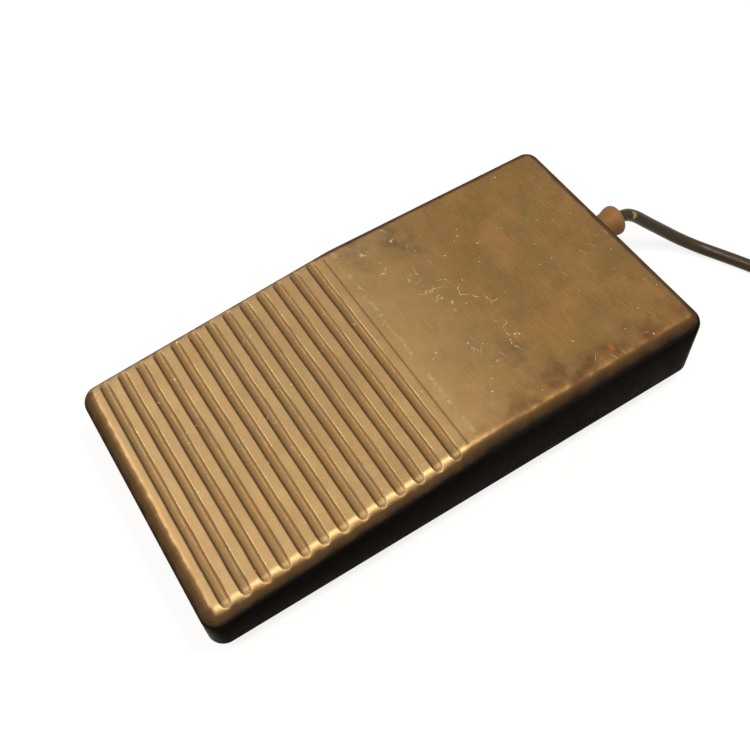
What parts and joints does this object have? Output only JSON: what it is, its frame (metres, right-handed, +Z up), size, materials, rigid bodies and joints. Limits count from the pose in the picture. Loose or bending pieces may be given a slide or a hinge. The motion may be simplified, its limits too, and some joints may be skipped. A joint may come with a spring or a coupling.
{
  "type": "industrial foot switch",
  "caption": "Flat rectangular foot switch: a ribbed metal cover hinged at the heel over a steel tray with springs, a snap-action switch and a cable.",
  "frame": {"origin": "on the floor, under the middle of the cover", "axes": "+Y from the toe to the heel with its cable, +X across, +Z up"},
  "size_m": [0.1285, 0.3401, 0.038],
  "materials": {
    "cover_enamel": "worn bronze-brown enamel on a casting",
    "tray_steel": "black enamelled pressed steel",
    "zinc_steel": "zinc plated, dull",
    "spring_steel": "bright spring steel",
    "bush_brass": "turned brass",
    "black_rubber": "matt moulded rubber",
    "gland_rubber": "aged tan rubber, matt",
    "switch_plastic": "moulded phenolic",
    "plunger_plastic": "moulded",
    "sleeve_plastic": "translucent nylon",
    "cable_sheath": "extruded PVC, slightly glossy",
    "core_brown": "extruded PVC",
    "core_blue": "extruded PVC",
    "core_earth": "extruded PVC, green and yellow",
    "tinned_copper": "tinned"
  },
  "bodies": {
    "base": {"base_tray": "tray_steel", "rubber_feet": "black_rubber", "foot_screws": "zinc_steel", "foot_nuts": "zinc_steel", "pivot_bushes": "bush_brass", "return_spring_left": "spring_steel", "return_spring_right": "spring_steel", "spring_cups": "zinc_steel", "stop_bumpers": "black_rubber", "rest_pads": "black_rubber", "switch_case": "switch_plastic", "switch_lid": "switch_plastic", "switch_terminals": "bush_brass", "switch_screws": "zinc_steel", "switch_nuts": "zinc_steel", "switch_bracket": "zinc_steel", "bracket_screws": "zinc_steel", "bracket_nuts": "zinc_steel", "cable_gland": "gland_rubber", "cable_sheath_end": "cable_sheath", "clamp_bracket": "zinc_steel", "cable_clamp": "zinc_steel", "clamp_screws": "zinc_steel", "clamp_nuts": "zinc_steel", "terminal_sleeves": "sleeve_plastic", "lead_brown": "core_brown", "lead_blue": "core_blue", "lead_earth": "core_earth", "earth_tag": "tinned_copper", "earth_screw": "zinc_steel", "earth_nut": "zinc_steel", "cable": "cable_sheath", "cable_coil": "cable_sheath", "end_cores": "core_brown", "end_ferrules": "tinned_copper"},
    "pedal": {"pedal_cover": "cover_enamel", "pivot_screws": "zinc_steel", "adjusting_screw": "zinc_steel", "lock_nut": "zinc_steel"},
    "lever": {"switch_lever": "spring_steel"},
    "plunger": {"switch_plunger": "plunger_plastic"}
  },
  "joints": [
    {"name": "pedal_hinge", "type": "hinge", "parent": "base", "child": "pedal", "pos_m": [0, 0.073, 0.02], "axis": [1, 0, 0], "range_deg": [0, 2.1], "stiffness_Nm_per_rad": 40, "springref_deg": -2.29, "deforming": ["return_spring_left", "return_spring_right"]},
    {"name": "switch_lever_hinge", "type": "hinge", "parent": "base", "child": "lever", "pos_m": [0, 0.0405, 0.02755], "axis": [1, 0, 0], "range_deg": [0, 5.2], "stiffness_Nm_per_rad": 0.02, "springref_deg": -5.73},
    {"name": "plunger_slide", "type": "slide", "parent": "base", "child": "plunger", "axis": [0, 0, -1], "range_m": [0, 0.0008], "stiffness_N_per_m": 20, "springref_m": -0.001}
  ],
  "couplings": [
    {"joint": "switch_lever_hinge", "follows": "pedal_hinge", "ratio": 2.4444},
    {"joint": "plunger_slide", "follows": "pedal_hinge", "m_per_rad": 0.020778}
  ]
}
